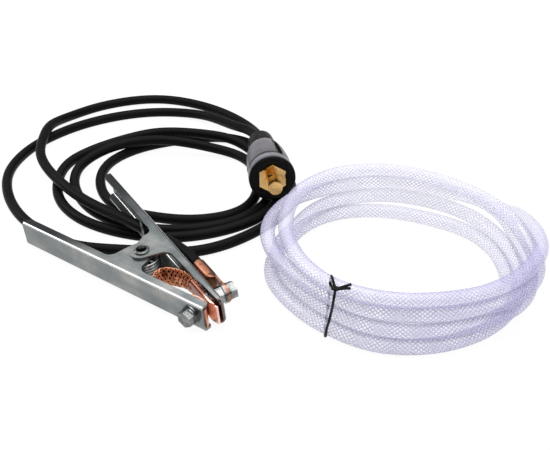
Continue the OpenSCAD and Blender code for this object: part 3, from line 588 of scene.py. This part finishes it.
def makeTie(t):
    bm = bmesh.new()
    for row in tieLines:
        addTube(bm, smoothLine([Vector(p) * mm for p in row], t["steps"]), t["wide"], t["sides"])
    x, y, z = t["knotSize"]
    wraps = [Vector(t["knot"]) + Vector((x * math.cos(a), y * math.sin(a), z * math.sin(a * 1.5)))
             for a in (k * t["knotTurn"] for k in range(t["knotPoints"]))]
    addTube(bm, smoothLine(wraps, t["knotSteps"]), t["wide"], t["sides"])
    piece = finishPiece("wireTie", bm, tieBlack, "set")
    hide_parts("twist_tie")


makeTie(tie)
print("hose and tie made")

# copper braid between the jaws: wires wound both ways round a flat loop

braid = {"wide": 0.0185, "thick": 0.0034, "strands": 7, "wires": 3, "wire": 0.00042, "pitch": 0.03,
         "apart": 0.024, "relief": 0.00045, "fray": 0.0005, "edgeFray": 0.0006, "frayScale": 160,
         "mid": 0.0125, "sink": 0.15, "sinkFrom": -21, "steps": 12, "rings": 110, "sides": 5,
         "coreThick": 0.25, "coreWide": 0.44, "coreSides": 16}
braidLine = [(64.8, -21.9), (52.9, -21.4), (36, -19), (27, -14), (23.5, -6), (26, 0.5), (34, 4.5), (44, 5.6),
             (59, 1.1), (67.7, -2.2)]


def makeBraid(b):
    spine = smoothLine([Vector((x * mm, y * mm, b["mid"] - b["sink"] * (y - b["sinkFrom"]) * mm))
                        for x, y in braidLine], b["steps"])
    total = lengthOf(spine)
    marks, run = [0.0], 0.0
    for p, q in zip(spine, spine[1:]):
        run += (q - p).length
        marks.append(run)

    def along(s):
        i = next((k for k in range(1, len(marks)) if marks[k] >= s), len(marks) - 1)
        w = (s - marks[i - 1]) / (marks[i] - marks[i - 1])
        ahead = (spine[i] - spine[i - 1]).normalized()
        return spine[i - 1].lerp(spine[i], min(w, 1)), Vector((-ahead.y, ahead.x, 0))

    bm = bmesh.new()
    for way in (1, -1):
        for strand in range(b["strands"]):
            for wire in range(b["wires"]):
                line = []
                for i in range(b["rings"] + 1):
                    s = total * i / b["rings"]
                    centre, out = along(s)
                    turn = way * s / b["pitch"] + strand / b["strands"] + wire * b["apart"]
                    a = 2 * math.pi * turn
                    weave = math.sin(math.pi * b["strands"] * 2 * s / b["pitch"] + math.pi * strand) * way
                    fray = noise.noise(Vector((s * b["frayScale"], strand * 3.1 + way * 7, wire * 1.7)))
                    half = b["thick"] / 2 + b["relief"] * weave + b["fray"] * fray
                    lift = (b["wide"] / 2 + b["edgeFray"] * fray) * math.cos(a)
                    line.append(centre + out * half * math.sin(a) + Vector((0, 0, lift)))
                addTube(bm, [nearFrame @ p for p in line], b["wire"], b["sides"])
    # a dark flat sheet inside the wires: painted shade in the gaps of the braid
    inner = bmesh.new()
    addTube(inner, [nearFrame @ p for p in spine], 1.0, b["coreSides"],
            shape=(b["thick"] * b["coreThick"], b["wide"] * b["coreWide"]))
    for piece in (finishPiece("braidLoop", bm, copperWire, None),
                  finishPiece("braidShadeCore", inner, braidShadeSheet, None)):
        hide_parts("braid_strap")
        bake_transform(piece)


makeBraid(braid)
print("braid woven")

# pivot spring: the coil and near leg in one piece on the set, the far leg in another

spring = {"radius": 13.5, "wire": 2.2, "turns": 5.5, "steps": 20, "low": 5.6, "high": 20.7, "bend": 14.0,
          "lead": 3, "first": 270, "sides": 10,
          "nearLeg": (-62.0, -23.7), "farLeg": (-49.6, 44.1)}


def makeSpring(t):
    row = [(*t["nearLeg"], t["low"]), (-t["bend"], -t["radius"] - t["lead"], t["low"])]
    for i in range(int(t["turns"] * t["steps"]) + 1):
        turn = i / t["steps"]
        a = math.radians(t["first"]) - turn * 2 * math.pi
        row.append((t["radius"] * math.cos(a), t["radius"] * math.sin(a),
                    t["low"] + (t["high"] - t["low"]) * turn / t["turns"]))
    row += [(-t["bend"], t["radius"] + t["lead"], t["high"]), (*t["farLeg"], t["high"])]
    line = [nearFrame @ (Vector(p) * mm) for p in row]
    for name, first, last, body in (("springCoil", 0, len(line) - 2, "set"),
                                    ("springLeg", len(line) - 2, len(line) - 1, None)):
        bm = bmesh.new()
        addTube(bm, line, t["wire"] * mm / 2, t["sides"], part=(first, last))
        piece = finishPiece(name, bm, springSteel, body)
        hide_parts("torsion_spring")
    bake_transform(piece)


makeSpring(spring)
print("spring wound")

# finishes on the solids that are already right

nodeFinish = {
    "far_arm": (zinc, "zinc_plate"), "near_arm": (zinc, "zinc_plate"), "pivot_rivet": (boltSteel, "bright_steel"),
    "far_jaw_pad": (jawCopper, "copper"),
    "near_jaw_pad": (copperSheet, "copper"), "far_braid_ferrule": (copperLug, "copper"),
    "near_braid_ferrule": (copperLug, "copper"), "near_bolt": (boltSteel, "bright_steel"),
    "near_washers": (boltSteel, "bright_steel"), "near_nut": (boltSteel, "bright_steel"),
    "far_bolt": (farSteelLit, "bright_steel"), "far_washers": (farSteelLit, "bright_steel"),
    "far_nuts": (farSteelLit, "bright_steel"), "cable_lug": (copperLug, "copper"),
    "plug_boot": (bootRubber, "black_rubber"), "plug_grip": (gripPlastic, "grey_rubber"),
    "plug_collar": (collarPlastic, "grey_rubber"), "plug_nose": (nosePlastic, "black_plastic"),
    "plug_contact": (brass, "brass"), "plug_ferrule": (copperLug, "copper"),
    "plug_set_screws": (boltSteel, "bright_steel")}


def dressNodes():
    for name, (finish, slotName) in nodeFinish.items():
        node = nodes[name]
        node.data.materials.clear()
        node.data.materials.append(finish)


dressNodes()
print("solids dressed")

# floor, room and lamps

room = {"floor": 12.0, "drop": 0.0002, "paper": (0.9, 0.9, 0.9), "floorWhite": 0.93, "worldLight": 3.0,
        "skyTint": (0.97, 0.985, 1.0),  # sky: height and its grey
        "sky": [(0.0, 0.07), (0.3, 0.08), (0.5, 0.17), (0.72, 0.4), (0.88, 0.9), (1.0, 0.5)]}


def joinAll(tree, pairs):
    for out, into in pairs:
        tree.links.new(out, into)


def layFloor(r):
    bm = bmesh.new()
    bmesh.ops.create_grid(bm, x_segments=1, y_segments=1, size=r["floor"] / 2)
    mesh = bpy.data.meshes.new("floor")
    bm.to_mesh(mesh)
    bm.free()
    floor = bpy.data.objects.new("floor", mesh)
    bpy.context.scene.collection.objects.link(floor)
    floor.location.z = -r["drop"]
    f = Finish("floorPaper", r["paper"], 0.8)
    ray = f.tree.nodes.new("ShaderNodeLightPath")
    seen = Field(f, ray.outputs["Is Camera Ray"]).most(Field(f, ray.outputs["Is Glossy Ray"])).most(
        Field(f, ray.outputs["Is Transmission Ray"]))
    glow = f.tree.nodes.new("ShaderNodeEmission")
    glow.inputs["Color"].default_value = (1, 1, 1, 1)
    mixed = f.tree.nodes.new("ShaderNodeMixShader")
    f.join(mixed.inputs[0], seen * r["floorWhite"])
    joinAll(f.tree, [(f.surface.outputs[0], mixed.inputs[1]), (glow.outputs[0], mixed.inputs[2]),
                     (mixed.outputs[0], f.tree.nodes["Material Output"].inputs["Surface"])])
    mesh.materials.append(f.material)


def makeSky(r):  # lights the room, and is plain white to the camera
    world = bpy.data.worlds.new("room")
    bpy.context.scene.world = world
    world.use_nodes = True
    tree = world.node_tree
    back = tree.nodes["Background"]
    back.inputs["Strength"].default_value = r["worldLight"]
    toward = tree.nodes.new("ShaderNodeTexCoord")
    split = tree.nodes.new("ShaderNodeSeparateXYZ")
    ramp = tree.nodes.new("ShaderNodeValToRGB")
    stops = ramp.color_ramp.elements
    while len(stops) < len(r["sky"]):
        stops.new(0.5)
    for stop, (height, grey) in zip(stops, r["sky"]):
        stop.position, stop.color = height, (*(grey * c for c in r["skyTint"]), 1)
    white = tree.nodes.new("ShaderNodeBackground")
    white.inputs["Color"].default_value = (1, 1, 1, 1)
    white.inputs["Strength"].default_value = 1.0
    ray = tree.nodes.new("ShaderNodeLightPath")
    most = tree.nodes.new("ShaderNodeMath")
    most.operation = "MAXIMUM"
    choice = tree.nodes.new("ShaderNodeMixShader")
    joinAll(tree, [(toward.outputs["Generated"], split.inputs[0]), (split.outputs[2], ramp.inputs[0]),
                   (ramp.outputs[0], back.inputs["Color"]), (ray.outputs["Is Camera Ray"], most.inputs[0]),
                   (ray.outputs["Is Transmission Ray"], most.inputs[1]), (most.outputs[0], choice.inputs[0]),
                   (back.outputs[0], choice.inputs[1]), (white.outputs[0], choice.inputs[2]),
                   (choice.outputs[0], tree.nodes["World Output"].inputs["Surface"])])


lamps = [  # name, place, aimed at, size, watts
    ("softTop", (-0.2, 0.1, 1.5), (-0.1, 0.0, 0.0), 1.1, 10.0),
    ("softLeft", (-1.5, -0.5, 0.9), (-0.1, 0.0, 0.03), 0.8, 7.0),
    ("softRight", (1.4, 0.2, 1.0), (0.05, 0.0, 0.03), 0.9, 6.0)]


def hangLamps(rows):
    for name, place, aim, size, watts in rows:
        data = bpy.data.lights.new(name, "AREA")
        data.shape, data.size, data.energy = "SQUARE", size, watts
        lamp = bpy.data.objects.new(name, data)
        bpy.context.scene.collection.objects.link(lamp)
        lamp.location = place
        lamp.rotation_euler = (Vector(aim) - Vector(place)).to_track_quat("-Z", "Y").to_euler()


layFloor(room)
makeSky(room)
hangLamps(lamps)
bpy.context.scene.view_settings.view_transform = "Standard"
print("room lit")
